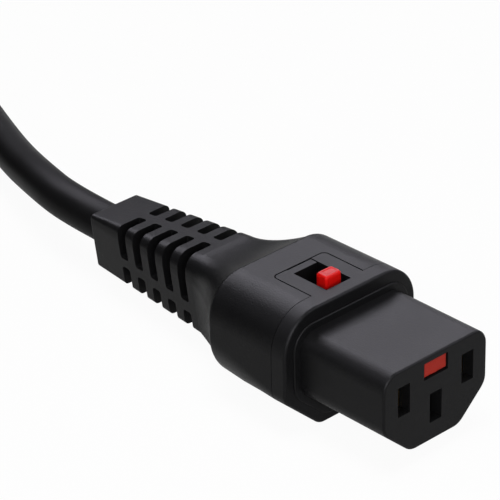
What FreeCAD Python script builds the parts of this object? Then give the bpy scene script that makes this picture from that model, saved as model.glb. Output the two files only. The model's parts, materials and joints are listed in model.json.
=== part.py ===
import FreeCAD, Part
import math
import os
from collections import namedtuple
from FreeCAD import Vector

# A mains lead with a locking socket connector on one end and a shrouded plug on the other.
# Each end is drawn with its mating face at x = 0 and the cord leaving towards -X, then moved to its place.
# A depth counts back from that face, and a height from the line through the line and neutral pins.
# A section is flat on top, and each side slopes in by its inset over the lowest part of its height.
# All sizes are in millimetres.

Ring = namedtuple("Ring", "width top bottom slope inset top_radius low_radius shoulder_radius")

# Pin pattern of the mains coupler
PIN_SPACING = 14.0
EARTH_DROP = 4.0
PIN_WIDTH = 2.0
PIN_HEIGHT = 4.0
PIN_LINE = 12.6  # height of the line and neutral pins above the table
POLES = {
    "line": (-PIN_SPACING / 2, 0.0),
    "neutral": (PIN_SPACING / 2, 0.0),
    "earth": (0.0, -EARTH_DROP),
}

# Nose of the socket
NOSE = Ring(
    width=22.7, top=5.5, bottom=-9.9, slope=5.4, inset=6.0,
    top_radius=3.0, low_radius=3.0, shoulder_radius=3.0,
)
NOSE_LENGTH = 18.35
NOSE_EDGE = 0.4
FACE_WALL = 2.2
SLOT_PLAY_WIDTH = 0.6
SLOT_PLAY_HEIGHT = 1.2
COLLAR_WIDTH = 1.2
COLLAR_HEIGHT = 0.3
COLLAR_EDGE = 0.2

# Hood, the same section on both ends
HOOD = Ring(
    width=28.8, top=9.0, bottom=-PIN_LINE, slope=6.95, inset=7.6,
    top_radius=7.0, low_radius=2.5, shoulder_radius=2.5,
)
HOOD_TAPER = 0.25
HOOD_REAR_LIFT = 0.9  # how much higher the shoulders end at the rear
HOOD_REAR_SHOULDER = 10.0
HOOD_REAR_ROUND = 0.9
RIM_LENGTH = 2.95
RIM_EDGE = 0.5
SOCKET_HOOD_END = 36.3
PLUG_HOOD_END = 36.5

# Neck and strain relief, with depths counted from the hood's rear edge
RELIEF_START = Ring(
    width=14.2, top=5.5, bottom=-9.0, slope=10.5, inset=1.4,
    top_radius=2.8, low_radius=1.2, shoulder_radius=8.0,
)
RELIEF_FINISH = Ring(
    width=10.5, top=2.75, bottom=-7.55, slope=8.75, inset=1.1,
    top_radius=0.6, low_radius=0.7, shoulder_radius=5.0,
)
NECK_STEP = 0.5
NECK_LENGTH = 11.3
NECK_STATIONS = 6
NECK_CURVE = 1.8  # powers by which the neck's sides, belly and feet swell towards the hood
NECK_BELLY = 0.75
NECK_FOOT = 3.0
RELIEF_LENGTH = 27.4
RELIEF_END_EDGE = 0.4

# Slots of the strain relief: each ring has a spine on top and underneath and a rib on each side
SLOT_RINGS = 5
SLOT_FIRST = 14.0
SLOT_PITCH = 4.0
SLOT_BREADTH = 2.05
SLOT_END_ROUND = 0.5
SPINE_HALF = 0.95
KEEL_HALF = 1.5
RIB_NEAR_HOOD = (-5.5, -3.4)
RIB_NEAR_END = (-4.1, -2.4)
SLEEVE_WALL = 0.65
SLOT_REACH = 12.0

# Cord, its three cores and what holds them inside a hood
CORD_DIAMETER = 7.0
CABLE_DROP = 1.65
CORE_DIAMETER = 2.35
CORE_GAP = 0.08
SHEATH_PLAY = 0.1
STRAND_DIAMETER = 1.6
CRIMP_GAP = 0.05
BARREL_DIAMETER = 3.0
BARREL_LENGTH = 4.4
BARREL_AHEAD = 16.0
CORE_STRAIGHT = 8.0
CORE_CLOSING = 10.5
CORE_TURNS = {"line": 150, "neutral": 30, "earth": 270}  # degrees round the cord's axis
INSERT_SHORT = 3.0
PREMOULD_FRONT = Ring(
    width=20.5, top=3.8, bottom=-8.0, slope=5.0, inset=5.0,
    top_radius=2.0, low_radius=1.2, shoulder_radius=1.2,
)
PREMOULD_REAR = Ring(
    width=7.4, top=2.05, bottom=-5.35, slope=1.6, inset=1.6,
    top_radius=1.8, low_radius=1.0, shoulder_radius=1.0,
)
PREMOULD_GAP = 0.1
MOULD_FIT = 0.05
SEAM = 0.1

# Female contacts
CONTACT_WIDTH = 3.4
CONTACT_HEIGHT = 5.6
CONTACT_PLAY = 0.2
CONTACT_FIT = 0.2
CONTACT_FRONT = 2.6
CONTACT_LENGTH = 13.0
EARTH_CONTACT_FRONT = 9.2
EARTH_CONTACT_LENGTH = 8.0
CONTACT_SLIT = 0.7
CONTACT_ARM = 6.0
STRAP_HEIGHT = 1.0

# Tongue and window on top of the socket, and the sprung release slider in them
SLIDER_TRAVEL = 3.0
TONGUE_WIDTH = 11.1
TONGUE_CORNER = 0.8
TONGUE_SEAM = 0.24
WINDOW_WIDTH = 5.4
WINDOW_FRONT = 21.0
WINDOW_SPARE = 1.05
CHANNEL_WIDTH = 5.2
CHANNEL_LOW = 1.55
CHANNEL_HIGH = 4.5
SLIDE_FIT = 0.15
SLIDER_LIFT = 0.3
TIP_RECESS = 0.2
TIP_EDGE = 0.25
NIB_HALF = 0.55
NIB_DEPTH = 0.15
NIB_LENGTH = 1.6
BUTTON_AHEAD = 1.0
BUTTON_LENGTH = 2.45
BUTTON_WIDTH = 3.45
BUTTON_RISE = 1.4
BUTTON_CORNER = 0.45
BUTTON_ROUND_WIDTH = 0.32  # the top edge is a quarter ellipse
BUTTON_ROUND_HEIGHT = 0.6
BUTTON_ROUND_STEPS = 5
DISH_MARGIN = 0.15
DISH_SLOPE = 0.2
DISH_DEPTH = 0.1
SLIDER_HEEL = 0.75
KEEPER_SHOWN = 1.4
KEEPER_FIT = 0.12
KEEPER_SINK = 0.12
SPRING_PACKED = 3.3  # room that the closed spring takes
SPRING_RADIUS = 1.0
SPRING_WIRE = 0.3
SPRING_TURNS = 7
SPRING_PLAY = 0.05
PEG_RADIUS = 0.6
PEG_LENGTH = 1.5

# Tipping lock plate round the earth pin
PLATE_DEPTH = 7.0
PLATE_FOOT = -8.4
PLATE_THICKNESS = 0.8
PLATE_WIDTH = 5.0
PLATE_SHOULDER = 0.6
TAB_WIDTH = 3.0
TAB_TOP = 3.2
TAB_GRIP = 2.8  # height at which the slider holds the tab
PLATE_PLAY = 0.2
APERTURE_PLAY = 0.3
NOTCH_PLAY = 0.25
NOTCH_TOP = 3.5

# Plug shroud and pins
SHROUD_CLEARANCE = 0.6
SHROUD_DEPTH = 16.5
SHROUD_BASE = 3.5
SHROUD_EDGE = 0.5
PIN_TIP = 3.5
EARTH_PIN_TIP = 1.5
PIN_CHAMFER = 0.6
PIN_FIT = 0.05

# Route of the cord from the strain relief to its coil, on the table
ROUTE_ON_TABLE = [
    (-49.5, 0.0, 10.95),
    (-61.5, 3.4, 9.75),
    (-73.5, 8.4, 7.7),
    (-87.0, 14.2, 5.75),
    (-105.0, 22.2, 4.4),
    (-123.0, 29.9, 3.95),
]
CORNER_SHARE = 0.45
COIL_OUTER = 38.6
COIL_PITCH = 7.2
TAIL_LENGTH = 27.0
TIE_THICKNESS = 0.4
TIE_FIT = 0.05
TIE_ANGLE = 18.0
TIE_PLACE = 150.0

# Sizes that follow from the values above
HOOD_REAR = HOOD._replace(
    width=HOOD.width - 2 * HOOD_TAPER,
    slope=HOOD.slope + HOOD_REAR_LIFT,
    shoulder_radius=HOOD_REAR_SHOULDER,
)
RIM_END = NOSE_LENGTH + RIM_LENGTH
BUTTON_FRONT = WINDOW_FRONT + BUTTON_AHEAD
BUTTON_BACK = BUTTON_FRONT + BUTTON_LENGTH
WINDOW_END = BUTTON_BACK + SLIDER_TRAVEL + WINDOW_SPARE
TONGUE_END = WINDOW_END + KEEPER_SHOWN
SLIDER_END = BUTTON_BACK + SLIDER_HEEL
KEEPER_WALL_FRONT = SLIDER_END + SLIDER_TRAVEL + SPRING_PACKED
PLATE_TILT = math.degrees(math.atan(SLIDER_TRAVEL / (TAB_GRIP - PLATE_FOOT)))
SOCKET_INSERT_END = SOCKET_HOOD_END - INSERT_SHORT
PLUG_INSERT_END = PLUG_HOOD_END - INSERT_SHORT
END_REACH = NECK_LENGTH + RELIEF_LENGTH
SOCKET_LENGTH = SOCKET_HOOD_END + END_REACH
PLUG_LENGTH = PLUG_HOOD_END + END_REACH
CABLE_HEIGHT = PIN_LINE - CABLE_DROP
CORD_RADIUS = CORD_DIAMETER / 2
LAY_RADIUS = (CORE_DIAMETER + CORE_GAP) / math.sqrt(3)
SHEATH_BORE = LAY_RADIUS + CORE_DIAMETER / 2 + SHEATH_PLAY
COIL_LOW = CORD_RADIUS + TIE_THICKNESS + TIE_FIT
COIL_INNER = COIL_OUTER - COIL_PITCH
TOUCH = 1e-4


def spot(depth, y, height):
    """Point at a depth behind the mating face and a height above the pin line."""
    return Vector(-depth, y, PIN_LINE + height)


def block(depths, widths, heights):
    """Box between two depths, two places across and two heights."""
    size = [abs(b - a) for a, b in (depths, widths, heights)]
    return Part.makeBox(*size, spot(max(depths), min(widths), min(heights)))


def slab(depths, half_width, heights):
    """Box centred across the end."""
    return block(depths, (-half_width, half_width), heights)


def rod(radius, depths, y, height):
    """Round bar along the lead."""
    return Part.makeCylinder(radius, depths[1] - depths[0], spot(depths[1], y, height), Vector(1, 0, 0))


def rounded(corners, radii):
    """Closed wire through the corners, each rounded by a tangent arc."""
    arcs = []
    for i, corner in enumerate(corners):
        back = (corners[i - 1] - corner).normalize()
        ahead = (corners[(i + 1) % len(corners)] - corner).normalize()
        half = back.getAngle(ahead) / 2
        reach = radii[i] / math.tan(half)
        bulge = (back + ahead).normalize() * (radii[i] / math.sin(half) - radii[i])
        arcs.append((corner + back * reach, corner + bulge, corner + ahead * reach))
    edges = []
    for i, (start, middle, end) in enumerate(arcs):
        edges.append(Part.Arc(start, middle, end).toShape())
        edges.append(Part.LineSegment(end, arcs[(i + 1) % len(arcs)][0]).toShape())
    return Part.Wire(edges)


def outline(ring, depth):
    """Coupler section at a depth: round top corners and sloped lower corners."""
    half = ring.width / 2
    shoulder = ring.bottom + ring.slope
    foot = half - ring.inset
    corners = [
        (-half, ring.top),
        (half, ring.top),
        (half, shoulder),
        (foot, ring.bottom),
        (-foot, ring.bottom),
        (-half, shoulder),
    ]
    low = ring.low_radius
    shoulder_radius = ring.shoulder_radius
    radii = [ring.top_radius, ring.top_radius, shoulder_radius, low, low, shoulder_radius]
    return rounded([spot(depth, y, z) for y, z in corners], radii)


def grown(ring, by):
    """The same section with every side moved out by an equal distance."""
    face = math.hypot(ring.slope, ring.inset)
    slope = ring.slope + by * (1 - (face - ring.slope) / ring.inset)
    inset = ring.inset + by * (1 - (face - ring.inset) / ring.slope)
    radii = [r + by for r in (ring.top_radius, ring.low_radius, ring.shoulder_radius)]
    return Ring(ring.width + 2 * by, ring.top + by, ring.bottom - by, slope, inset, *radii)


def mixed(first, last, share):
    """Section part of the way from one ring to another."""
    return Ring(*(a + (b - a) * share for a, b in zip(first, last)))


def prism(ring, start, end):
    """Straight length of one section."""
    return Part.Face(outline(ring, start)).extrude(Vector(start - end, 0, 0))


def loft(rings, depths, ruled):
    """Solid through several sections."""
    return Part.makeLoft([outline(r, d) for r, d in zip(rings, depths)], True, ruled)


def edges_at(shape, depth):
    """Edges that lie in the plane at a depth."""
    return [e for e in shape.Edges if all(abs(v.X + depth) < TOUCH for v in e.Vertexes)]


def joined(first, *others):
    """One solid out of solids that touch or overlap."""
    return first.fuse(list(others)).removeSplitter()


def rounded_path(points):
    """Wire of straight runs and tangent arcs as large as the runs allow, and the arcs' radii."""
    edges = []
    radii = []
    start = points[0]
    for before, corner, after in zip(points, points[1:], points[2:]):
        back = before - corner
        ahead = after - corner
        reach = CORNER_SHARE * min(back.Length, ahead.Length)
        half_turn = (math.pi - back.getAngle(ahead)) / 2
        radius = reach / math.tan(half_turn)
        bulge = (back.normalize() + ahead.normalize()).normalize() * (radius / math.cos(half_turn) - radius)
        entry = corner + back * reach
        leave = corner + ahead * reach
        edges.append(Part.LineSegment(start, entry).toShape())
        edges.append(Part.Arc(entry, corner + bulge, leave).toShape())
        radii.append(radius)
        start = leave
    edges.append(Part.LineSegment(start, points[-1]).toShape())
    return Part.Wire(edges), radii


def tube(points, diameter, name):
    """Round solid along a route, with its bend radii and volume printed as a check."""
    path, radii = rounded_path(points)
    circle = Part.makeCircle(diameter / 2, points[0], points[1] - points[0])
    solid = path.makePipeShell([Part.Wire(circle)], True, True)
    expected = math.pi * diameter**2 / 4 * path.Length
    bends = ", ".join(f"{r:.1f}" for r in radii)
    print(f"{name}: length {path.Length:.1f}, radii {bends}, volume ratio {solid.Volume / expected:.5f}")
    return solid


def slot_cutter(depth, edge_y, edge_height, side, way):
    """Pocket that wraps one long edge of the relief, with round ends at the spine and at the rib."""
    depths = (depth - SLOT_BREADTH / 2, depth + SLOT_BREADTH / 2)
    box = block(depths, (side * edge_y, side * SLOT_REACH), (edge_height, way * SLOT_REACH))
    ends = []
    for edge in box.Edges:
        a, b = [v.Point for v in edge.Vertexes]
        across = abs(a.x - b.x) < TOUCH
        at_spine = all(abs(p.y - side * edge_y) < TOUCH for p in (a, b))
        at_rib = all(abs(p.z - PIN_LINE - edge_height) < TOUCH for p in (a, b))
        if across and (at_spine or at_rib):
            ends.append(edge)
    return box.makeFillet(SLOT_END_ROUND, ends)


def relief_slots(hood_end):
    """All the pockets of one strain relief, down to a thin sleeve round the cord."""
    sleeve = rod(CORD_RADIUS + SLEEVE_WALL, (hood_end, hood_end + END_REACH), 0, -CABLE_DROP)
    cutters = []
    for ring in range(SLOT_RINGS):
        depth = hood_end + SLOT_FIRST + ring * SLOT_PITCH
        share = ring / (SLOT_RINGS - 1)
        rib_low, rib_high = (a + (b - a) * share for a, b in zip(RIB_NEAR_HOOD, RIB_NEAR_END))
        for side in (-1, 1):
            cutters.append(slot_cutter(depth, SPINE_HALF, rib_high, side, 1).cut(sleeve))
            cutters.append(slot_cutter(depth, KEEL_HALF, rib_low, side, -1).cut(sleeve))
    return cutters


def premould_shape(hood_end, by):
    """Tapering inner moulding between the insert and the sheath, grown by a fit."""
    front = hood_end - INSERT_SHORT + PREMOULD_GAP
    rear = hood_end + NECK_LENGTH - PREMOULD_GAP
    return loft([grown(PREMOULD_FRONT, by), grown(PREMOULD_REAR, by)], [front - by, rear + by], True)


def neck_ring(start, share):
    """Neck section part of the way from the relief to the hood: its belly fills out first, its feet last."""
    ring = mixed(RELIEF_START, start, share**NECK_CURVE)
    belly = mixed(RELIEF_START, start, share**NECK_BELLY)
    feet = mixed(RELIEF_START, start, share**NECK_FOOT)
    return ring._replace(bottom=belly.bottom, slope=feet.slope, inset=feet.inset)


def overmould(front, hood_end):
    """Flexible moulding: hood, flared neck and slotted strain relief in one, hollowed for what it holds."""
    neck_end = hood_end + NECK_LENGTH
    relief_end = hood_end + END_REACH
    body = loft([HOOD, HOOD_REAR], [front, hood_end], True)
    body = body.makeFillet(HOOD_REAR_ROUND, edges_at(body, hood_end))
    neck_start = grown(HOOD_REAR, -NECK_STEP)
    shares = [i / (NECK_STATIONS - 1) for i in range(NECK_STATIONS)]
    rings = [neck_ring(neck_start, 1 - s) for s in shares]
    neck = loft(rings, [hood_end + s * NECK_LENGTH for s in shares], False)
    relief = loft([RELIEF_START, RELIEF_FINISH], [neck_end, relief_end], True)
    relief = relief.makeFillet(RELIEF_END_EDGE, edges_at(relief, relief_end))
    solid = joined(body, neck, relief)
    insert = prism(grown(NOSE, MOULD_FIT), front - SEAM, hood_end - INSERT_SHORT + MOULD_FIT)
    bore = rod(CORD_RADIUS + MOULD_FIT, (neck_end - PREMOULD_GAP, relief_end), 0, -CABLE_DROP)
    hollows = [insert, premould_shape(hood_end, MOULD_FIT), bore]
    return solid.cut(hollows + relief_slots(hood_end))


def cable_end(hood_end):
    """Cores, stripped strands, inner moulding and sheath end that one hood holds."""
    made = {}
    barrel_front = hood_end - BARREL_AHEAD
    core_start = barrel_front + BARREL_LENGTH + PREMOULD_GAP
    cord_end = hood_end + END_REACH
    premould = premould_shape(hood_end, 0)
    for pole, (y, height) in POLES.items():
        turn = math.radians(CORE_TURNS[pole])
        lay_y = LAY_RADIUS * math.cos(turn)
        lay_height = LAY_RADIUS * math.sin(turn) - CABLE_DROP
        route = [
            spot(core_start, y, height),
            spot(core_start + CORE_STRAIGHT, y, height),
            spot(core_start + CORE_STRAIGHT + CORE_CLOSING, lay_y, lay_height),
            spot(cord_end, lay_y, lay_height),
        ]
        made[pole + "_wire"] = tube(route, CORE_DIAMETER, pole + "_wire")
        made[pole + "_strand"] = rod(STRAND_DIAMETER / 2, (barrel_front, core_start), y, height)
        premould = premould.cut(tube(route, CORE_DIAMETER + 2 * MOULD_FIT, pole + "_way"))
    made["premould"] = premould
    sheath_span = (hood_end + NECK_LENGTH, cord_end)
    sheath = rod(CORD_RADIUS, sheath_span, 0, -CABLE_DROP)
    made["sheath"] = sheath.cut(rod(SHEATH_BORE, sheath_span, 0, -CABLE_DROP))
    return made


def crimp_barrel(hood_end, y, height):
    """Crimped tube round a stripped strand."""
    span = (hood_end - BARREL_AHEAD, hood_end - BARREL_AHEAD + BARREL_LENGTH)
    bore = rod(STRAND_DIAMETER / 2 + CRIMP_GAP, span, y, height)
    return rod(BARREL_DIAMETER / 2, span, y, height).cut(bore)


def contact(pole, front, length):
    """Folded female contact: a slit box that springs on the pin, a strap and a crimp barrel."""
    y, height = POLES[pole]
    barrel_front = SOCKET_HOOD_END - BARREL_AHEAD
    end = front + length

    def across(half):
        return (y - half, y + half)

    def upright(half):
        return (height - half, height + half)

    box = block((front, end), across(CONTACT_WIDTH / 2), upright(CONTACT_HEIGHT / 2))
    way_half_width = (PIN_WIDTH + CONTACT_PLAY) / 2
    way_half_height = (PIN_HEIGHT + CONTACT_PLAY) / 2
    way = block((front, end), across(way_half_width), upright(way_half_height))
    slit = block((front, front + CONTACT_ARM), across(CONTACT_SLIT / 2), upright(CONTACT_HEIGHT / 2))
    strap_low = height - CONTACT_HEIGHT / 2
    strap_high = height - way_half_height
    strap = block((end, barrel_front), across(PIN_WIDTH / 2), (strap_low, strap_high))
    riser_top = height - STRAND_DIAMETER / 2 - CRIMP_GAP
    riser_span = (barrel_front - STRAP_HEIGHT, barrel_front + STRAP_HEIGHT)
    riser = block(riser_span, across(PIN_WIDTH / 2), (strap_low, riser_top))
    return joined(box.cut([way, slit]), strap, riser, crimp_barrel(SOCKET_HOOD_END, y, height))


def plate_pivot():
    """Centre of the lock plate's round foot."""
    return spot(PLATE_DEPTH, 0, PLATE_FOOT)


def lock_plate():
    """Steel plate with a window for the earth pin, tipped forwards as the spring leaves it."""
    half = PLATE_THICKNESS / 2
    depths = (PLATE_DEPTH - half, PLATE_DEPTH + half)
    leaf = slab(depths, PLATE_WIDTH / 2, (PLATE_FOOT, PLATE_SHOULDER))
    tab = slab(depths, TAB_WIDTH / 2, (PLATE_SHOULDER, TAB_TOP))
    foot_start = plate_pivot() - Vector(0, PLATE_WIDTH / 2, 0)
    foot = Part.makeCylinder(half, PLATE_WIDTH, foot_start, Vector(0, 1, 0))
    window_half = (PIN_HEIGHT + APERTURE_PLAY) / 2
    window_span = (-EARTH_DROP - window_half, -EARTH_DROP + window_half)
    window = slab(depths, (PIN_WIDTH + APERTURE_PLAY) / 2, window_span)
    plate = joined(leaf, tab, foot).cut(window)
    plate.rotate(plate_pivot(), Vector(0, 1, 0), PLATE_TILT)
    return plate


def plate_pocket():
    """Space in the core that lets the lock plate tip between upright and fully forwards."""
    half = PLATE_THICKNESS / 2 + PLATE_PLAY
    low = PLATE_FOOT - half
    high = CHANNEL_LOW + PLATE_PLAY
    lean = (high - PLATE_FOOT) * math.tan(math.radians(PLATE_TILT))
    side = -PLATE_WIDTH / 2 - PLATE_PLAY
    corners = [
        spot(PLATE_DEPTH + half, side, low),
        spot(PLATE_DEPTH + half, side, high),
        spot(PLATE_DEPTH - lean - half, side, high),
        spot(PLATE_DEPTH - half, side, PLATE_FOOT),
        spot(PLATE_DEPTH - half, side, low),
    ]
    return Part.Face(Part.makePolygon(corners + corners[:1])).extrude(Vector(0, -2 * side, 0))


def button_outline(inset, height):
    """Level section of the button, drawn in by an inset on every side."""
    half = BUTTON_WIDTH / 2 - inset
    front = BUTTON_FRONT + inset
    back = BUTTON_BACK - inset
    corners = [(front, -half), (front, half), (back, half), (back, -half)]
    return rounded([spot(depth, y, height) for depth, y in corners], [BUTTON_CORNER] * len(corners))


def slider_button(low):
    """Button with a rounded top edge and a shallow dish for the fingertip."""
    top = HOOD.top + BUTTON_RISE
    sections = [button_outline(0, low)]
    for step in range(BUTTON_ROUND_STEPS + 1):
        turn = math.radians(90 * step / BUTTON_ROUND_STEPS)
        inset = BUTTON_ROUND_WIDTH * (1 - math.cos(turn))
        sections.append(button_outline(inset, top - BUTTON_ROUND_HEIGHT * (1 - math.sin(turn))))
    rim = BUTTON_ROUND_WIDTH + DISH_MARGIN
    dish = [button_outline(rim, top), button_outline(rim + DISH_SLOPE, top - DISH_DEPTH)]
    return Part.makeLoft(sections, True, True).cut(Part.makeLoft(dish, True, True))


def release_slider():
    """Red moulding: tip in the face, bar over the earth contact, button through the window and spring peg."""
    half = CHANNEL_WIDTH / 2 - SLIDE_FIT
    low = CHANNEL_LOW + SLIDER_LIFT
    high = CHANNEL_HIGH - SLIDE_FIT
    bar = slab((TIP_RECESS, SLIDER_END), half, (low, high))
    bar = bar.makeFillet(TIP_EDGE, edges_at(bar, TIP_RECESS))
    peg = rod(PEG_RADIUS, (SLIDER_END, SLIDER_END + PEG_LENGTH), 0, (low + high) / 2)
    nib = slab((TIP_RECESS + TIP_EDGE, TIP_RECESS + NIB_LENGTH), NIB_HALF, (low - NIB_DEPTH, low))
    tilt = math.tan(math.radians(PLATE_TILT))
    lean_low = (low - PLATE_FOOT) * tilt
    lean_high = (TAB_TOP - PLATE_FOOT) * math.sin(math.radians(PLATE_TILT))
    half_notch = PLATE_THICKNESS / 2 / math.cos(math.radians(PLATE_TILT)) + NOTCH_PLAY
    notch_depths = (PLATE_DEPTH - lean_high - half_notch, PLATE_DEPTH - lean_low + half_notch)
    notch = slab(notch_depths, TAB_WIDTH / 2 + NOTCH_PLAY, (low, NOTCH_TOP))
    return joined(bar, slider_button(low), peg, nib).cut(notch)


def slider_spring():
    """Compression spring between the slider and the keeper."""
    length = KEEPER_WALL_FRONT - SLIDER_END - 2 * SPRING_PLAY - SPRING_WIRE
    helix = Part.makeHelix(length / SPRING_TURNS, length, SPRING_RADIUS)
    section = Part.Wire(Part.makeCircle(SPRING_WIRE / 2, Vector(SPRING_RADIUS, 0, 0), Vector(0, 1, 0)))
    spring = Part.Wire(helix.Edges).makePipeShell([section], True, True)
    spring.rotate(Vector(0, 0, 0), Vector(0, 1, 0), -90)
    middle = (CHANNEL_LOW + SLIDER_LIFT + CHANNEL_HIGH - SLIDE_FIT) / 2
    spring.translate(spot(SLIDER_END + SPRING_PLAY + SPRING_WIRE / 2, 0, middle))
    return spring


def spring_keeper():
    """Small moulding that closes the slider's way behind the window and seats the spring."""
    end = SOCKET_INSERT_END
    lid_half = WINDOW_WIDTH / 2 - KEEPER_FIT
    wall_half = CHANNEL_WIDTH / 2 - KEEPER_FIT
    bar = slab((WINDOW_END, TONGUE_END), lid_half, (CHANNEL_HIGH, HOOD.top - KEEPER_SINK))
    lid = slab((WINDOW_END, end), lid_half, (CHANNEL_HIGH + KEEPER_FIT, NOSE.top))
    wall = slab((KEEPER_WALL_FRONT, end), wall_half, (CHANNEL_LOW + KEEPER_FIT, CHANNEL_HIGH + KEEPER_FIT))
    return joined(bar, lid, wall)


def tongue(by):
    """Raised land round the window, grown by a seam."""
    depths = (RIM_END - RIM_EDGE, TONGUE_END + by)
    land = slab(depths, TONGUE_WIDTH / 2 + by, (CHANNEL_HIGH, HOOD.top))
    corners = []
    for edge in land.Edges:
        upright = abs(edge.Vertexes[0].Z - edge.Vertexes[-1].Z) > TOUCH
        if upright and all(abs(v.X + TONGUE_END + by) < TOUCH for v in edge.Vertexes):
            corners.append(edge)
    return land.makeFillet(TONGUE_CORNER + by, corners)


def hood_rim(start, end, edge):
    """Rigid front ring of a hood, with a rounded front edge."""
    rim = prism(HOOD, start, end)
    return rim.makeFillet(edge, edges_at(rim, start))


def nose_collar():
    """Low step round the root of the nose, on the front of the rim."""
    front = NOSE_LENGTH - COLLAR_HEIGHT
    collar = prism(grown(NOSE, COLLAR_WIDTH), front, NOSE_LENGTH)
    return collar.makeFillet(COLLAR_EDGE, edges_at(collar, front))


def pole_blocks(depths, half_width, half_height):
    """Three equal boxes, one at each pole."""
    boxes = []
    for y, z in POLES.values():
        boxes.append(block(depths, (y - half_width, y + half_width), (z - half_height, z + half_height)))
    return boxes


def contact_cavities(start, end):
    """Ways for the three contacts or crimp barrels through an insert."""
    return pole_blocks((start, end), CONTACT_WIDTH / 2 + CONTACT_FIT, CONTACT_HEIGHT / 2 + CONTACT_FIT)


def socket_core():
    """Rigid moulding: keyed nose with pin slots, front rim, insert under the hood and window land."""
    end = SOCKET_INSERT_END
    body = prism(NOSE, 0, end)
    body = body.makeFillet(NOSE_EDGE, edges_at(body, 0))
    rim = hood_rim(NOSE_LENGTH, RIM_END, RIM_EDGE)
    solid = joined(body, rim, nose_collar(), tongue(0))
    ways = contact_cavities(FACE_WALL, end)
    half_width = (PIN_WIDTH + SLOT_PLAY_WIDTH) / 2
    half_height = (PIN_HEIGHT + SLOT_PLAY_HEIGHT) / 2
    ways.extend(pole_blocks((0, FACE_WALL), half_width, half_height))
    ways.append(slab((0, end), CHANNEL_WIDTH / 2, (CHANNEL_LOW, CHANNEL_HIGH)))
    ways.append(slab((WINDOW_FRONT, end), WINDOW_WIDTH / 2, (CHANNEL_HIGH, HOOD.top)))
    ways.append(plate_pocket())
    return solid.cut(ways)


def socket_hood():
    """Overmould of the socket, cut away for the window land."""
    solid = overmould(RIM_END + SEAM, SOCKET_HOOD_END)
    return solid.cut(tongue(TONGUE_SEAM))


def plug_insert():
    """Rigid shroud and pin carrier of the plug."""
    base_end = SHROUD_DEPTH + SHROUD_BASE
    shroud = hood_rim(0, base_end, SHROUD_EDGE)
    solid = joined(shroud, prism(NOSE, base_end, PLUG_INSERT_END))
    ways = contact_cavities(base_end, PLUG_INSERT_END)
    ways.append(prism(grown(NOSE, SHROUD_CLEARANCE), 0, SHROUD_DEPTH))
    ways.extend(pole_blocks((SHROUD_DEPTH, base_end), PIN_WIDTH / 2 + PIN_FIT, PIN_HEIGHT / 2 + PIN_FIT))
    return solid.cut(ways)


def plug_pin(pole, tip):
    """Flat pin with a chamfered tip and a crimp barrel behind the carrier."""
    y, height = POLES[pole]
    depths = (tip, PLUG_HOOD_END - BARREL_AHEAD)
    widths = (y - PIN_WIDTH / 2, y + PIN_WIDTH / 2)
    heights = (height - PIN_HEIGHT / 2, height + PIN_HEIGHT / 2)
    blade = block(depths, widths, heights)
    blade = blade.makeChamfer(PIN_CHAMFER, edges_at(blade, tip))
    return joined(blade, crimp_barrel(PLUG_HOOD_END, y, height))


def coil_ring(centre, by, low_angle, angle):
    """Ring swept by the bundle of turns, grown by a fit, over part or all of a turn."""
    inner = COIL_INNER - CORD_RADIUS - by
    outer = COIL_OUTER + CORD_RADIUS + by
    low = COIL_LOW - CORD_RADIUS - by
    high = COIL_LOW + CORD_DIAMETER + CORD_RADIUS + by
    corners = [Vector(x, 0, z) for x, z in ((inner, low), (outer, low), (outer, high), (inner, high))]
    face = Part.Face(rounded(corners, [CORD_RADIUS + by] * 4))
    ring = face.revolve(Vector(0, 0, 0), Vector(0, 0, 1), angle)
    ring.rotate(Vector(0, 0, 0), Vector(0, 0, 1), low_angle)
    ring.translate(centre)
    return ring


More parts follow.
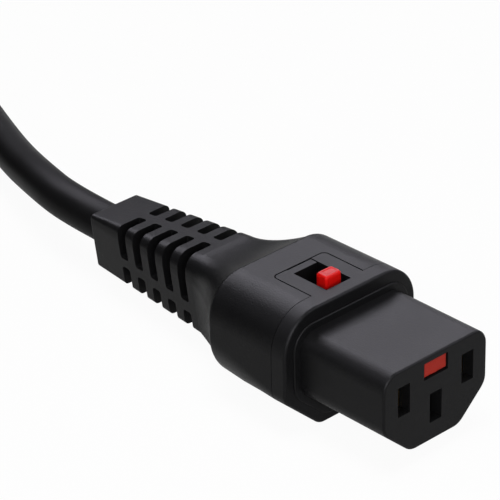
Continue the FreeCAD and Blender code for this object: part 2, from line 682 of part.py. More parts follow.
def main():
    parts = {}
    socket = {
        "socket_core": socket_core(),
        "socket_hood": socket_hood(),
        "release_slider": release_slider(),
        "slider_spring": slider_spring(),
        "spring_keeper": spring_keeper(),
        "lock_plate": lock_plate(),
        "line_contact": contact("line", CONTACT_FRONT, CONTACT_LENGTH),
        "neutral_contact": contact("neutral", CONTACT_FRONT, CONTACT_LENGTH),
        "earth_contact": contact("earth", EARTH_CONTACT_FRONT, EARTH_CONTACT_LENGTH),
    }
    for name, shape in cable_end(SOCKET_HOOD_END).items():
        socket["socket_" + name] = shape
    for name, shape in socket.items():
        shape.translate(Vector(SOCKET_LENGTH / 2, 0, 0))
        parts[name] = shape

    exit_point = Vector(-SOCKET_LENGTH / 2, 0, CABLE_HEIGHT)
    route = [exit_point] + [Vector(*p) for p in ROUTE_ON_TABLE]
    parts["cord_lead"] = tube(route, CORD_DIAMETER, "cord_lead")
    heading = route[-1] - route[-2]
    leftwards = Vector(-heading.y, heading.x, 0).normalize()
    centre = Vector(route[-1].x, route[-1].y, 0) + leftwards * COIL_OUTER
    parts["cord_coil"] = coil_ring(centre, 0, 0, 360)
    band = coil_ring(centre, TIE_FIT + TIE_THICKNESS, TIE_PLACE, TIE_ANGLE)
    parts["coil_tie"] = band.cut(coil_ring(centre, TIE_FIT, TIE_PLACE, TIE_ANGLE))
    tail_start = centre + Vector(0, -COIL_OUTER, CABLE_HEIGHT)
    parts["cord_tail"] = Part.makeCylinder(CORD_RADIUS, TAIL_LENGTH, tail_start, Vector(1, 0, 0))

    plug = {
        "plug_insert": plug_insert(),
        "plug_hood": overmould(SHROUD_DEPTH + SHROUD_BASE + SEAM, PLUG_HOOD_END),
        "plug_line_pin": plug_pin("line", PIN_TIP),
        "plug_neutral_pin": plug_pin("neutral", PIN_TIP),
        "plug_earth_pin": plug_pin("earth", EARTH_PIN_TIP),
    }
    for name, shape in cable_end(PLUG_HOOD_END).items():
        plug["plug_" + name] = shape
    for name, shape in plug.items():
        shape.translate(Vector(tail_start.x + TAIL_LENGTH + PLUG_LENGTH, tail_start.y, 0))
        parts[name] = shape

    os.makedirs("parts", exist_ok=True)
    for name, shape in parts.items():
        shape.exportStep(f"parts/{name}.step")
        print(f"{name}: {len(shape.Solids)} solid, valid {shape.isValid()}, {shape.Volume:.1f} mm3")
    print("coil centre", centre, "plug face x", tail_start.x + TAIL_LENGTH + PLUG_LENGTH)


main()
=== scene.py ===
# %% [markdown]
# A locking mains lead is a cord with a moulded connector at each end. The one that matters here has a sprung
# red slider: its button stands in a window on the hood, and pulling it back frees a steel plate that grips the
# earth pin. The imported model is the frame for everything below. Its nodes are already in place and in metres,
# so the work here is finishes, the flexible pieces, and a studio to see them in.

# %% Load the frame
import json
import math

import bmesh
import bpy
from mathutils import Matrix, Vector


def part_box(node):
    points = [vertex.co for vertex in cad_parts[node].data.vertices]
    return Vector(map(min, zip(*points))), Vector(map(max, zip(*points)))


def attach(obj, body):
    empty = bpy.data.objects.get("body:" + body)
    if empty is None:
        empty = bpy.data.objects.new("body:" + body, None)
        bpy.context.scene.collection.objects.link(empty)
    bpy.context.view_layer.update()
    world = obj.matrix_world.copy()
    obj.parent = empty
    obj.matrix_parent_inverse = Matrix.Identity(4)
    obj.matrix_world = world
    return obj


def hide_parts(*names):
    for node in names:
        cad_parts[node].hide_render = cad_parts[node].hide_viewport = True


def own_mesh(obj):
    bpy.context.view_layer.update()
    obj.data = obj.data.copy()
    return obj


MM = 0.001  # the drawing's sizes are in millimetres, and the scene is in metres


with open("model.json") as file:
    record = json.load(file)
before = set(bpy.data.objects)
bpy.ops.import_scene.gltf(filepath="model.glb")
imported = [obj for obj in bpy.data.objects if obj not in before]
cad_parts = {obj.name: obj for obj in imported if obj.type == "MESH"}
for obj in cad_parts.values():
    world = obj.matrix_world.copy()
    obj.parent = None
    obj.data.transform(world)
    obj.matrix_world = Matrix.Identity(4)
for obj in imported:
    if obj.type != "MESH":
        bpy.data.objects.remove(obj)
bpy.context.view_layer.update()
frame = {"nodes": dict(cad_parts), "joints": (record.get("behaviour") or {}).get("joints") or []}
nodes = frame["nodes"]

# %% [markdown]
# A product shot is taken from far away with a long lens, so that parallel edges stay nearly parallel. A camera
# could be aimed with a constraint. Here its matrix is built from three directions instead, so that the small
# roll of a hand-held picture is kept too.

# %% Camera
CAMERA_PLACE = Vector((297.14, -276.14, 246.80)) * MM
CAMERA_AZIMUTH = math.radians(47.4562)
CAMERA_ELEVATION = math.radians(29.0766)
CAMERA_ROLL = math.radians(-1.3223)
FRAME_PIXELS = 500
FOCAL_PIXELS = 2912.33
SENSOR_MM = 36.0

camera_data = bpy.data.cameras.new("camera")
camera_data.sensor_width = SENSOR_MM
camera_data.lens = SENSOR_MM * FOCAL_PIXELS / FRAME_PIXELS
camera_data.clip_start = 0.01
camera = bpy.data.objects.new("camera", camera_data)
bpy.context.scene.collection.objects.link(camera)
bpy.context.scene.camera = camera

level = math.cos(CAMERA_ELEVATION)
back = Vector((
    math.sin(CAMERA_AZIMUTH) * level,
    -math.cos(CAMERA_AZIMUTH) * level,
    math.sin(CAMERA_ELEVATION),
))
right = Vector((math.cos(CAMERA_AZIMUTH), math.sin(CAMERA_AZIMUTH), 0))
up = back.cross(right)
cosine, sine = math.cos(CAMERA_ROLL), math.sin(CAMERA_ROLL)
turned = Matrix((cosine * right + sine * up, cosine * up - sine * right, back)).transposed()
camera.matrix_world = Matrix.Translation(CAMERA_PLACE) @ turned.to_4x4()
print("camera: lens", round(camera_data.lens, 1), "mm,", round(CAMERA_PLACE.length, 2), "m from the part")

# %% [markdown]
# The cord leaves the strain relief straight, sinks to the table under its own weight and turns away. The rest
# of its metre is wound into a tied coil, two turns wide and two high, which ends at the plug. All of it is one
# NURBS spline: a polyline would look like bent wire, while a spline of order 3 keeps each bend even. The turns
# are control points worked out by a loop, set a little outside their radius because such a spline runs inside
# its control points.

# %% The cord's route
CORD_DIAMETER = 7.0
LEAD_ROUTE = [
    (-37.5, 0.0, 10.95),
    (-49.5, 0.0, 10.95),
    (-61.5, 3.5, 9.75),
    (-73.5, 8.1, 7.7),
    (-87.0, 14.2, 5.75),
    (-105.0, 22.2, 4.4),
    (-123.0, 29.9, 3.95),
]
TAIL_ROUTE = [(-138.18, -44.19, 10.95), (-111.18, -44.19, 10.95)]
COIL_MIDDLE = (-138.18, -5.59)
OUTER_TURN, INNER_TURN = 38.6, 31.4
LOW_LAYER, HIGH_LAYER = 3.95, 10.95
# All that follows is in degrees: where the cord meets the coil, where it crosses to the inner turns, to the
# upper layer and back to the outer turns, where it ends, and how far apart the control points are.
ENTRY_ANGLE = 66.84
TURN_IN, CLIMB, TURN_OUT = (290, 360), (600, 660), (923, 993)
COIL_END = 1275
POINT_STEP = 15


def eased(angle, span):
    """Goes smoothly from 0 to 1 while the angle crosses the span."""
    share = min(max((angle - span[0]) / (span[1] - span[0]), 0), 1)
    return share * share * (3 - 2 * share)


def coil_point(wound):
    """Control point of the coil after it has wound that many degrees."""
    inwards = eased(wound, TURN_IN) - eased(wound, TURN_OUT)
    radius = (OUTER_TURN + (INNER_TURN - OUTER_TURN) * inwards) / math.cos(math.radians(POINT_STEP / 2))
    height = LOW_LAYER + (HIGH_LAYER - LOW_LAYER) * eased(wound, CLIMB)
    angle = math.radians(ENTRY_ANGLE + wound)
    return COIL_MIDDLE[0] + radius * math.cos(angle), COIL_MIDDLE[1] + radius * math.sin(angle), height


coil_route = [coil_point(wound) for wound in range(POINT_STEP, COIL_END + 1, POINT_STEP)]
route = LEAD_ROUTE + coil_route + TAIL_ROUTE
print("cord:", len(route), "control points,", round(COIL_END / 360, 1), "turns")

# %% [markdown]
# A curve with a round bevel is a tube. The tube could be a mesh as well, but a curve keeps its middle line, and
# the cord's true length can be read from that. The order and the end points are set after the points are
# added, because set before, they would leave straight runs.

# %% The cord itself
cord_data = bpy.data.curves.new("cord", "CURVE")
cord_data.dimensions = "3D"
spline = cord_data.splines.new("NURBS")
spline.points.add(len(route) - 1)
for point, spot in zip(spline.points, route):
    point.co = (*(Vector(spot) * MM), 1)
spline.order_u = 3
spline.use_endpoint_u = True
spline.resolution_u = 8
cord_data.bevel_depth = CORD_DIAMETER / 2 * MM
cord_data.bevel_resolution = 9
cord_data.use_fill_caps = True
cord = bpy.data.objects.new("cord", cord_data)
bpy.context.scene.collection.objects.link(cord)
print("cord: spline length", round(spline.calc_length(), 4), "m")

# %% [markdown]
# Shader graphs are easier to read as sums than as boxes and wires. This small class holds one output of a node
# tree. Adding or multiplying it adds a Math node, and its add method makes any other kind of node.

# %% Shader maths


class Wire:
    """One output socket in a material's node tree."""

    def __init__(self, tree, socket=None):
        self.tree = tree
        self.socket = socket

    def add(self, kind, settings=None, sockets=None, output=0):
        """Adds a node, sets it up, feeds its inputs and returns one of its outputs."""
        node = self.tree.nodes.new("ShaderNode" + kind)
        for name, value in (settings or {}).items():
            if name == "stops":
                set_stops(node.color_ramp, value)
            else:
                setattr(node, name, value)
        for name, value in (sockets or {}).items():
            connect(value, node.inputs[name])
        return Wire(self.tree, node.outputs[output])

    def maths(self, operation, first, second):
        """Adds a Math node on two wires or numbers."""
        return self.add("Math", {"operation": operation}, {0: first, 1: second})

    def __add__(self, other):
        return self.maths("ADD", self, other)

    def __sub__(self, other):
        return self.maths("SUBTRACT", self, other)

    def __rsub__(self, other):
        return self.maths("SUBTRACT", other, self)

    def __mul__(self, other):
        return self.maths("MULTIPLY", self, other)

    __radd__ = __add__
    __rmul__ = __mul__


def connect(value, socket):
    """Links a wire to a socket, or sets a plain value on it."""
    if isinstance(value, Wire):
        value.tree.links.new(value.socket, socket)
    else:
        socket.default_value = value


def set_stops(ramp, stops):
    """Gives a colour ramp its (position, grey) stops."""
    while len(ramp.elements) < len(stops):
        ramp.elements.new(1)
    for element, (position, grey) in zip(ramp.elements, stops):
        element.position = position
        element.color = (grey, grey, grey, 1)


print("shader maths: add, subtract and multiply")

# %% [markdown]
# Every finish below needs the same few steps: a material, a place on the piece, noise of a known size, a colour
# between two, and a bump of a known depth. They are written once here. Places are object coordinates, so a
# grain has the same size on every piece and nothing has to be unwrapped.

# %% Steps that all finishes share
MIX_FACTOR, MIX_LOW, MIX_HIGH, MIX_COLOUR = 0, 6, 7, 2  # a Mix node's sockets for colours


def new_material(name):
    """A material with a surface shader, and a wire to build its graph from."""
    material = bpy.data.materials.new(name)
    material.use_nodes = True
    surface = material.node_tree.nodes["Principled BSDF"]
    return material, surface, Wire(material.node_tree)


def feed(surface, **sockets):
    """Feeds the surface shader's sockets, which are named with _ for a space."""
    for name, value in sockets.items():
        connect(value, surface.inputs[name.replace("_", " ")])


def object_place(start):
    """The place on the piece, in metres."""
    return start.add("TexCoord", None, None, "Object")


def noise(start, place, size, detail):
    """Cloudy noise whose lumps are about as wide as size, in millimetres."""
    return start.add("TexNoise", None, {"Vector": place, "Scale": 1 / (size * MM), "Detail": detail})


def tinted(start, mask, low, high):
    """A colour between two, by a mask; each of the two is a wire or (red, green, blue)."""
    low, high = (side if isinstance(side, Wire) else (*side, 1) for side in (low, high))
    sockets = {MIX_FACTOR: mask, MIX_LOW: low, MIX_HIGH: high}
    return start.add("Mix", {"data_type": "RGBA"}, sockets, MIX_COLOUR)


def raised(start, height, depth):
    """A bumped normal whose full height is depth, in millimetres."""
    return start.add("Bump", None, {"Strength": 1.0, "Distance": depth * MM, "Height": height})


print("shared steps:", ", ".join(step.__name__ for step in (noise, tinted, raised)))

# %% [markdown]
# The two black mouldings are the same colour family but not the same plastic. The rigid nose and rim are a
# filled nylon with a spark-eroded grain. The hood, neck and relief are soft PVC moulded over it, with a
# slightly coarser grain and small pits where the flow met the mould. Both are nearly black with a dull sheen,
# and most of what the eye reads is the reflection of softboxes in that grain, so roughness and bump do more
# here than colour.

# %% Black mouldings
PATCH_SIZE, FLOW_SIZE, PIT_SPACING = 9.0, 5.0, 0.9
PATCH_SWING, GRAIN_SWING = 0.12, 0.14  # how far each moves the roughness
PIT_STOPS = [(0.06, 1.0), (0.14, 0.0)]  # full in the middle of a pit, gone a little way out
FLOW_STOPS = [(0.52, 0.0), (0.62, 1.0)]  # pits only where the flow noise is high


def flow_pits(start, place):
    """Small round pits, gathered where the flow noise is high."""
    cells = start.add("TexVoronoi", None, {"Vector": place, "Scale": 1 / (PIT_SPACING * MM)}, "Distance")
    pit = start.add("ValToRGB", {"stops": PIT_STOPS}, {0: cells})
    flow = noise(start, place, FLOW_SIZE, 2.0)
    return pit * start.add("ValToRGB", {"stops": FLOW_STOPS}, {0: flow})


def black_moulding(name, dark, light, dull, gloss, grain_size, grain_depth, pits=None):
    """Moulded black plastic with eroded grain and uneven sheen; pits is how deep flow pits go, in grains."""
    material, surface, start = new_material(name)
    place = object_place(start)
    grain = noise(start, place, grain_size, 3.0)
    patches = noise(start, place, PATCH_SIZE, 4.0)
    height = grain - flow_pits(start, place) * pits if pits else grain
    feed(
        surface,
        Base_Color=tinted(start, patches, dark, light),
        Roughness=dull + (patches - 0.5) * PATCH_SWING + (grain - 0.5) * GRAIN_SWING,
        Normal=raised(start, height, grain_depth),
        Specular_IOR_Level=gloss,
    )
    return material


rigid_black = black_moulding(
    "rigid_black", (0.0040, 0.0040, 0.0043), (0.0062, 0.0062, 0.0067),
    dull=0.43, gloss=0.074, grain_size=0.26, grain_depth=0.020,
)
soft_black = black_moulding(
    "soft_black", (0.0036, 0.0036, 0.0039), (0.0056, 0.0056, 0.0060),
    dull=0.38, gloss=0.066, grain_size=0.30, grain_depth=0.028, pits=0.8,
)
print("black mouldings:", rigid_black.name, soft_black.name)

# %% [markdown]
# The slider is one piece of glossy red acetal. Red this strong is easily overdone: the colour stays just short
# of pure, and a faint cloudiness and fine scuffs keep the button from looking like a light. Its tip sits back
# in
# the face: there the red is darker, which is painted shade for that recess, and the surface is rougher. The tip
# could have a material of its own, but the shade fades out, so a mask along x goes from one red to the other.

# %% Red slider
CLOUD_SIZE, SCUFF_SIZE, SCUFF_DEPTH = 1.6, 0.12, 0.003
TIP_DEPTH, TIP_FADE = 0.9, 0.5
RED_GLOSS = 0.088

red_slider, surface, start = new_material("red_slider")
place = object_place(start)
cloud = noise(start, place, CLOUD_SIZE, 3.0)
scuff = noise(start, place, SCUFF_SIZE, 2.0)
tip_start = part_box("release_slider")[1].x - TIP_DEPTH * MM
tip_full_shade = tip_start + TIP_FADE * MM
along = start.add("SeparateXYZ", None, {"Vector": place}, "X")
# The mask along x fades in the darker red, which is painted shade on the tip in its recess.
rub_and_tip_shade = start.add("MapRange", None, {"Value": along, "From Min": tip_start, "From Max": tip_full_shade})
unshaded_red = tinted(start, cloud, (0.56, 0.0030, 0.0020), (0.64, 0.0055, 0.0035))
tip_shade_red = tinted(start, scuff, (0.21, 0.0110, 0.0055), (0.35, 0.0180, 0.0090))
feed(
    surface,
    Base_Color=tinted(start, rub_and_tip_shade, unshaded_red, tip_shade_red),
    Roughness=0.32 + (cloud - 0.5) * 0.1 + scuff * 0.1 + rub_and_tip_shade * 0.15,
    Normal=raised(start, scuff, SCUFF_DEPTH),
    Specular_IOR_Level=RED_GLOSS,
)
print("red:", red_slider.name)

# %% [markdown]
# The cord's sheath is smoother PVC than the hood. Its cores show through as very slow swells, and it has been
# dragged over tables, so its sheen is uneven along its length. The swells could be modelled, but they are so
# shallow that a bump shows the same.

# %% Cord sheath
SWELL_SIZE, FINE_SIZE, RUB_SIZE = 7.0, 0.35, 14.0
SWELL_DEPTH, FINE_SHARE = 0.06, 0.12
SHEATH_GLOSS = 0.044

sheath_black, surface, start = new_material("sheath_black")
place = object_place(start)
swell = noise(start, place, SWELL_SIZE, 1.0)
fine = noise(start, place, FINE_SIZE, 3.0)
rub_and_tip_shade = noise(start, place, RUB_SIZE, 4.0)
feed(
    surface,
    Base_Color=tinted(start, rub_and_tip_shade, (0.0036, 0.0035, 0.0037), (0.0056, 0.0055, 0.0058)),
    Roughness=0.40 + (rub_and_tip_shade - 0.5) * 0.16 + fine * 0.08,
    Normal=raised(start, fine * FINE_SHARE + swell, SWELL_DEPTH),
    Specular_IOR_Level=SHEATH_GLOSS,
)
print("sheath:", sheath_black.name)

# %% [markdown]
# Metal parts take their colour from reflection, so they are fully metallic with a tint. What tells a drawn pin
# from a stamped contact or a ground plate is the direction of its fine marks, so the noise is stretched along
# the work. The spring is bright wire drawn nearly black, which is painted shade, so it hardly shows in the dark
# of the window.

# %% Metals
MARK_SIZE, MARK_DEPTH, TARNISH_SIZE = 0.12, 0.002, 2.5
DRAWN = (0.06, 1, 1)  # marks run along x
ROLLED = (1, 1, 0.08)  # marks run along z
UNMARKED = (1, 1, 1)


def worked_metal(name, low, high, dull, stretch):
    """Metal with fine marks; stretch is the scale of their noise along x, y and z."""
    material, surface, start = new_material(name)
    place = object_place(start)
    marks = noise(start, start.add("Mapping", None, {"Vector": place, "Scale": stretch}), MARK_SIZE, 3.0)
    tarnish = noise(start, place, TARNISH_SIZE, 3.0)
    feed(
        surface,
        Base_Color=tinted(start, tarnish, low, high),
        Metallic=1.0,
        Roughness=dull + (marks - 0.5) * 0.14 + (tarnish - 0.5) * 0.1,
        Normal=raised(start, marks, MARK_DEPTH),
    )
    return material


brass = worked_metal("brass", (0.62, 0.43, 0.19), (0.75, 0.55, 0.27), 0.30, DRAWN)
nickel = worked_metal("nickel", (0.60, 0.57, 0.52), (0.70, 0.67, 0.62), 0.24, DRAWN)
steel = worked_metal("steel", (0.46, 0.46, 0.47), (0.58, 0.58, 0.59), 0.32, ROLLED)
# The spring's near-black colour is painted shade for the dark inside the window; its real wire is bright.
painted_shade_spring = worked_metal("painted_shade_spring", (0.07, 0.07, 0.07), (0.12, 0.12, 0.12), 0.42, UNMARKED)
copper = worked_metal("copper", (0.68, 0.31, 0.18), (0.80, 0.42, 0.27), 0.30, DRAWN)
print("metals:", [m.name for m in (brass, nickel, steel, painted_shade_spring, copper)])

# %% [markdown]
# Inside the mouldings run three insulated cores in the usual colours, and a pale inner moulding keeps them
# apart. They are sealed in, but a part that can be taken to pieces should look right when it is. The earth
# core's yellow stripe is a wave across its length, which is simpler than a second piece laid on the core.

# %% Insulation and inner moulding
HAZE_SIZE, SPECK_SIZE, SPECK_DEPTH = 2.0, 0.3, 0.004
STRIPE_SCALE = 120.0
STRIPE_STOPS = [(0.55, 0.0), (0.62, 1.0)]
STRIPE_YELLOW = (0.72, 0.55, 0.03)


def plain_plastic(name, low, high, dull, stripe_colour=None):
    """Smooth extruded or moulded plastic, with an optional second colour in stripes."""
    material, surface, start = new_material(name)
    place = object_place(start)
    haze = noise(start, place, HAZE_SIZE, 3.0)
    colour = tinted(start, haze, low, high)
    if stripe_colour:
        waves = {"Vector": place, "Scale": STRIPE_SCALE}
        bands = start.add("TexWave", {"bands_direction": "DIAGONAL"}, waves)
        stripe = start.add("ValToRGB", {"stops": STRIPE_STOPS}, {0: bands})
        colour = tinted(start, stripe, colour, stripe_colour)
    feed(
        surface,
        Base_Color=colour,
        Roughness=dull + (haze - 0.5) * 0.12,
        Normal=raised(start, noise(start, place, SPECK_SIZE, 2.0), SPECK_DEPTH),
    )
    return material


brown_core = plain_plastic("brown_core", (0.085, 0.032, 0.014), (0.115, 0.045, 0.020), 0.36)
blue_core = plain_plastic("blue_core", (0.012, 0.055, 0.23), (0.020, 0.075, 0.29), 0.36)
striped_core = plain_plastic("striped_core", (0.020, 0.13, 0.035), (0.030, 0.17, 0.050), 0.36, STRIPE_YELLOW)
inner_grey = plain_plastic("inner_grey", (0.30, 0.30, 0.29), (0.38, 0.38, 0.37), 0.5)
print("cores:", brown_core.name, blue_core.name, striped_core.name, "and", inner_grey.name)

# %% [markdown]
# The tie is a strip of hook-and-loop tape. Its outside is a pile of tiny loops, so it hardly shines at all.
# Thousands of modelled loops would be too small to see, so the pile is drawn as small cells with a nap over
# them.

# %% Tie fabric
LOOP_SIZE, NAP_SIZE, WEAR_SIZE = 0.45, 0.16, 3.0
PILE_DEPTH, PILE_GLOSS = 0.10, 0.2

tie_pile, surface, start = new_material("tie_pile")
place = object_place(start)
pile = start.add("TexVoronoi", None, {"Vector": place, "Scale": 1 / (LOOP_SIZE * MM)}, "Distance") * 0.7
nap = noise(start, place, NAP_SIZE, 4.0)
wear = noise(start, place, WEAR_SIZE, 3.0)
feed(
    surface,
    Base_Color=tinted(start, pile + wear * 0.4, (0.006, 0.006, 0.0065), (0.022, 0.022, 0.024)),
    Roughness=0.85 + (nap - 0.5) * 0.2,
    Normal=raised(start, pile + nap * 0.5, PILE_DEPTH),
    Specular_IOR_Level=PILE_GLOSS,
)
print("tie:", tie_pile.name)

# %% [markdown]
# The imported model's material slots already say what each node is made of. A dictionary turns those words into
# the finishes above, so no node has to be listed, and none can be forgotten: a slot that the dictionary lacks
# stops the script.

# %% Give each node its finish
FINISHES = {
    "black_moulding": rigid_black,
    "black_overmould": soft_black,
    "red_moulding": red_slider,
    "spring_steel": painted_shade_spring,
    "lock_steel": steel,
    "contact_brass": brass,
    "plated_pin": nickel,
    "line_insulation": brown_core,
    "neutral_insulation": blue_core,
    "earth_insulation": striped_core,
    "bare_copper": copper,
    "inner_moulding": inner_grey,
    "cord_sheath": sheath_black,
    "tie_band": tie_pile,
}
for piece in nodes.values():
    for slot in piece.material_slots:
        slot.material = FINISHES[slot.material.name]
cord_data.materials.append(sheath_black)
print("finishes:", len(FINISHES), "on", len(nodes), "nodes")

# %% [markdown]
# The release spring is 0.3 mm wire wound seven times. A curve with a bevel could follow a helix. Here a small
# disc is spun about the slider's axis and moved along it at the same time, which is what a spring winder does.
# The end turns lie close, so that the spring stands square, and so there are three spins: close, open, close.

# %% Wind the spring
SPRING_WIRE, SPRING_RADIUS, SPRING_TURNS = 0.3, 1.0, 7
CLOSE_PITCH = 0.36
STEPS_PER_TURN, WIRE_SIDES = 24, 10
WELD_DISTANCE = 0.001

spring_low, spring_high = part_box("slider_spring")
spring_middle = (spring_low + spring_high) / 2
spring_span = spring_high.x - spring_low.x
open_turns = SPRING_TURNS - 2
open_pitch = (spring_span / MM - SPRING_WIRE - 2 * CLOSE_PITCH) / open_turns

first = Vector((spring_low.x + SPRING_WIRE / 2 * MM, spring_middle.y, spring_middle.z + SPRING_RADIUS * MM))
upright = Matrix.Translation(first) @ Matrix.Rotation(math.radians(90), 4, "X")
winding = bmesh.new()
bmesh.ops.create_circle(
    winding, segments=WIRE_SIDES, radius=SPRING_WIRE / 2 * MM, matrix=upright, cap_ends=True,
)
wire_end = winding.verts[:] + winding.edges[:] + winding.faces[:]
for turns, pitch in ((1, CLOSE_PITCH), (open_turns, open_pitch), (1, CLOSE_PITCH)):
    spun = bmesh.ops.spin(
        winding, geom=wire_end, cent=(0, spring_middle.y, spring_middle.z), axis=(1, 0, 0),
        dvec=(pitch / STEPS_PER_TURN * MM, 0, 0), angle=math.radians(360 * turns),
        steps=turns * STEPS_PER_TURN, use_merge=False,
    )
    wire_end = spun["geom_last"]
bmesh.ops.remove_doubles(winding, verts=winding.verts, dist=WELD_DISTANCE * MM)
bmesh.ops.recalc_face_normals(winding, faces=winding.faces)
print("spring:", len(winding.faces), "faces, open pitch", round(open_pitch, 2), "mm")

# %% [markdown]
# A bmesh shows only when it is written into an object's mesh. The helper here does that for the spring, and
# later for the strap, and says which body the piece rides on. The real spring gets shorter against its seat
# when the slider is pulled back, and the share of its length that it keeps is worked out from the slider's
# joint.

# %% Seat the spring


def finished(name, shape, material, body):
    """Turns a bmesh into a smooth-shaded piece that rides on a body."""
    mesh = bpy.data.meshes.new(name)
    shape.to_mesh(mesh)
    shape.free()
    mesh.materials.append(material)
    mesh.shade_smooth()
    piece = bpy.data.objects.new(name, mesh)
    bpy.context.scene.collection.objects.link(piece)
    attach(piece, body)
    return piece


spring = finished("release_spring", winding, painted_shade_spring, "lead")
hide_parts("slider_spring")
slide = next(joint for joint in frame["joints"] if joint["name"] == "slider_slide")
kept_share = (spring_span - slide["range_m"][1]) / spring_span
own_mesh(spring)
print("spring: keeps", round(kept_share, 3), "of its length")

# %% [markdown]
# The coil is held by one strap that goes round all its turns and laps over itself on the outside. A band of
# even section would look like a hoop, so the strap starts as a loop that is rounded like the outer turns of
# the bundle. A loop is four corners, rounded by a bevel of its vertices.

# %% The strap's loop
TIE_PLACE, TIE_SPREAD = 150.0, 18.0  # first edge and spread, in degrees round the coil
CORNER_STEPS = 8
tie_axis = Vector((COIL_MIDDLE[0] * MM, COIL_MIDDLE[1] * MM, 0))
tie_angle = math.radians(TIE_PLACE)
outwards = Vector((math.cos(tie_angle), math.sin(tie_angle), 0))
cord_radius = CORD_DIAMETER / 2
bundle_low, bundle_high = INNER_TURN - cord_radius, OUTER_TURN + cord_radius
bundle_floor, bundle_top = LOW_LAYER - cord_radius, HIGH_LAYER + cord_radius


def strap_loop(grow):
    """A rounded loop of edges, grown from the bundle of turns and drawn at the strap's first edge."""
    corners = [
        (bundle_low - grow, bundle_floor - grow), (bundle_high + grow, bundle_floor - grow),
        (bundle_high + grow, bundle_top + grow), (bundle_low - grow, bundle_top + grow),
    ]
    spots = [tie_axis + outwards * radius * MM + Vector((0, 0, height * MM)) for radius, height in corners]
    shape = bmesh.new()
    face = shape.faces.new([shape.verts.new(spot) for spot in spots])
    bmesh.ops.bevel(
        shape, geom=face.verts[:], offset=(cord_radius + grow) * MM, segments=CORNER_STEPS, profile=0.5,
        affect="VERTICES", material=-1,
    )
    bmesh.ops.delete(shape, geom=shape.faces[:], context="FACES_ONLY")
    return shape


print("bundle:", round(bundle_high - bundle_low, 1), "mm wide,", round(bundle_top - bundle_floor, 1), "mm high")

# %% [markdown]
# Spun through a short arc about the coil's middle, the loop becomes a sheet, and a wall added on its outside
# makes the sheet a tape. The lapped end is a second layer over the first, which keeps only the edges of the
# loop at the outer upper corner. Tape has no sharp rims, so these are bevelled last.

# %% Strap and lapped end
TIE_STEPS = 12
TIE_FIT, TIE_THICK, TIE_LAP = 0.05, 0.4, 0.45
TIE_RIM, SHARP_ANGLE = 0.12, math.radians(60)
LAP_RADIUS, LAP_HEIGHT = 33.0, 5.0  # the lapped end covers what is further out and higher than this


def under_lap(edge):
    """Tells whether the strap's end laps over this edge of the loop."""
    middle = (edge.verts[0].co + edge.verts[1].co) / 2 - tie_axis
    return middle.dot(outwards) / MM > LAP_RADIUS and middle.z / MM > LAP_HEIGHT


def strap_layer(grow, covers=None):
    """A layer of tape that stands off the bundle by grow; covers picks the edges of the loop it follows."""
    shape = strap_loop(grow)
    if covers:
        spare = [edge for edge in shape.edges if not covers(edge)]
        bmesh.ops.delete(shape, geom=spare, context="EDGES")
    bmesh.ops.spin(
        shape, geom=shape.verts[:] + shape.edges[:], cent=tie_axis, axis=(0, 0, 1),
        angle=math.radians(TIE_SPREAD), steps=TIE_STEPS, use_merge=False,
    )
    bmesh.ops.remove_doubles(shape, verts=shape.verts, dist=WELD_DISTANCE * MM)
    bmesh.ops.recalc_face_normals(shape, faces=shape.faces)
    bmesh.ops.solidify(shape, geom=shape.faces[:], thickness=-TIE_THICK * MM)
    bmesh.ops.recalc_face_normals(shape, faces=shape.faces)
    rims = [edge for edge in shape.edges if edge.calc_face_angle(0) > SHARP_ANGLE]
    bmesh.ops.bevel(
        shape, geom=rims, offset=TIE_RIM * MM, segments=2, profile=0.5, affect="EDGES", material=-1,
    )
    return shape


strap = strap_layer(TIE_FIT)
lap = strap_layer(TIE_FIT + TIE_LAP, under_lap)
lap_mesh = bpy.data.meshes.new("lap")
lap.to_mesh(lap_mesh)
lap.free()
strap.from_mesh(lap_mesh)
bpy.data.meshes.remove(lap_mesh)
tie = finished("coil_strap", strap, tie_pile, "lead")
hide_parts("coil_tie")
print("strap:", len(tie.data.polygons), "faces")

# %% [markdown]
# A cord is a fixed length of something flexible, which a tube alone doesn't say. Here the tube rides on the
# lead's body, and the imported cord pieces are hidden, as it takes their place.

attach(cord, "lead")
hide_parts("cord_lead", "cord_coil", "cord_tail")

# %% [markdown]
# The part lies on a white table. A table lit until it is white in the picture would throw that light back at
# the part, so its material is a mix instead: the camera sees almost plain white, reflections see some of that
# white, and all other rays meet pale cloth. What shows of the cloth keeps the shadow that seats the part.

# %% Table
FLOOR_SIZE = 6.0
SEEN_WHITE, MIRRORED_WHITE = 0.95, 0.4
CLOTH_GREY = 0.86

table, surface, start = new_material("table")
seen = start.add("LightPath", None, None, "Is Camera Ray") * SEEN_WHITE
for kind in ("Is Glossy Ray", "Is Transmission Ray"):
    seen = seen.maths("MAXIMUM", seen, start.add("LightPath", None, None, kind) * MIRRORED_WHITE)
cloth = start.add("BsdfDiffuse", None, {"Color": (CLOTH_GREY, CLOTH_GREY, CLOTH_GREY, 1)})
white = start.add("Emission", None, {"Color": (1, 1, 1, 1), "Strength": 1.0})
mixed = start.add("MixShader", None, {0: seen, 1: cloth, 2: white})
start.tree.nodes.remove(surface)
connect(mixed, start.tree.nodes["Material Output"].inputs["Surface"])

floor_shape = bmesh.new()
bmesh.ops.create_grid(floor_shape, x_segments=4, y_segments=4, size=FLOOR_SIZE / 2)
floor_mesh = bpy.data.meshes.new("floor")
floor_shape.to_mesh(floor_mesh)
floor_shape.free()
floor_mesh.materials.append(table)
floor = bpy.data.objects.new("floor", floor_mesh)
bpy.context.scene.collection.objects.link(floor)
print("table:", FLOOR_SIZE, "m")

# %% [markdown]
# Black plastic is read by what it mirrors. Two plain softboxes and a dim room light the part, at a level where
# a colour shows about as it is written. More of that light would wash out the red long before the black showed
# a sheen, so six more softboxes stand round the part that show in gloss and light nothing else. The strongest
# is behind and above the part as the camera sees it, which is why tops are pale and sides are dark.

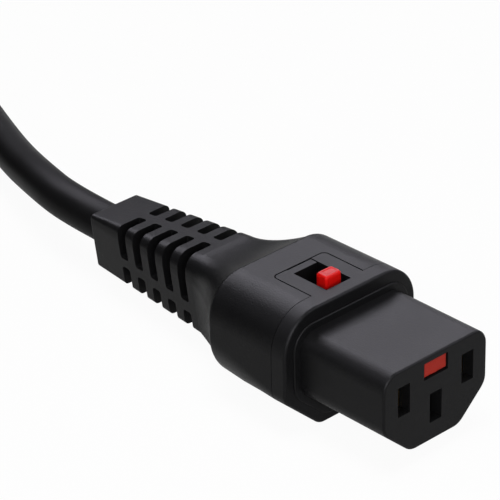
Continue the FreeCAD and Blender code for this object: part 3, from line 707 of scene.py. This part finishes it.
# %% Lights
LAMP_DISTANCE = 1.3
ROOM_STRENGTH = 0.08
COOL_WHITE, PLAIN_WHITE = (0.92, 0.90, 1.0), (1.0, 1.0, 1.0)
PLAIN_LAMPS = {  # azimuth, elevation, width, height, watts
    "overhead": (300, 82, 0.6, 0.6, 10.0),
    "front_fill": (325, 20, 0.8, 0.8, 11.5),
}
SHEEN_LAMPS = {
    "long_sheen": (155, 44, 1.2, 0.55, 26.5),
    "side_sheen": (119, 26, 0.28, 0.8, 4.0),
    "far_sheen": (92, 42, 0.5, 0.5, 5.0),
    "front_sheen": (45, 34, 0.9, 0.5, 12.0),
    "near_sheen": (315, 35, 1.2, 0.55, 24.0),
    "rear_sheen": (250, 45, 0.9, 0.5, 5.0),
}


def softbox(name, azimuth, elevation, width, height, watts, colour, sheen_only):
    """An area lamp that faces the part; a sheen lamp shows in gloss and lights nothing else."""
    lamp = bpy.data.lights.new(name, "AREA")
    lamp.shape = "RECTANGLE"
    lamp.size = width
    lamp.size_y = height
    lamp.energy = watts
    lamp.color = colour
    turn, rise = math.radians(azimuth), math.radians(elevation)
    direction = Vector((math.cos(rise) * math.cos(turn), math.cos(rise) * math.sin(turn), math.sin(rise)))
    holder = bpy.data.objects.new(name, lamp)
    holder.location = direction * LAMP_DISTANCE
    holder.rotation_euler = direction.to_track_quat("Z", "Y").to_euler()
    holder.visible_diffuse = not sheen_only
    bpy.context.scene.collection.objects.link(holder)


for name, setting in PLAIN_LAMPS.items():
    softbox(name, *setting, PLAIN_WHITE, sheen_only=False)
for name, setting in SHEEN_LAMPS.items():
    softbox(name, *setting, COOL_WHITE, sheen_only=True)

world = bpy.data.worlds.new("studio")
bpy.context.scene.world = world
world.use_nodes = True
room = world.node_tree.nodes["Background"]
room.inputs["Color"].default_value = (1, 1, 1, 1)
room.inputs["Strength"].default_value = ROOM_STRENGTH
bpy.context.scene.view_settings.view_transform = "Standard"
print("lights:", len(PLAIN_LAMPS), "softboxes,", len(SHEEN_LAMPS), "sheen lamps and a dim room")
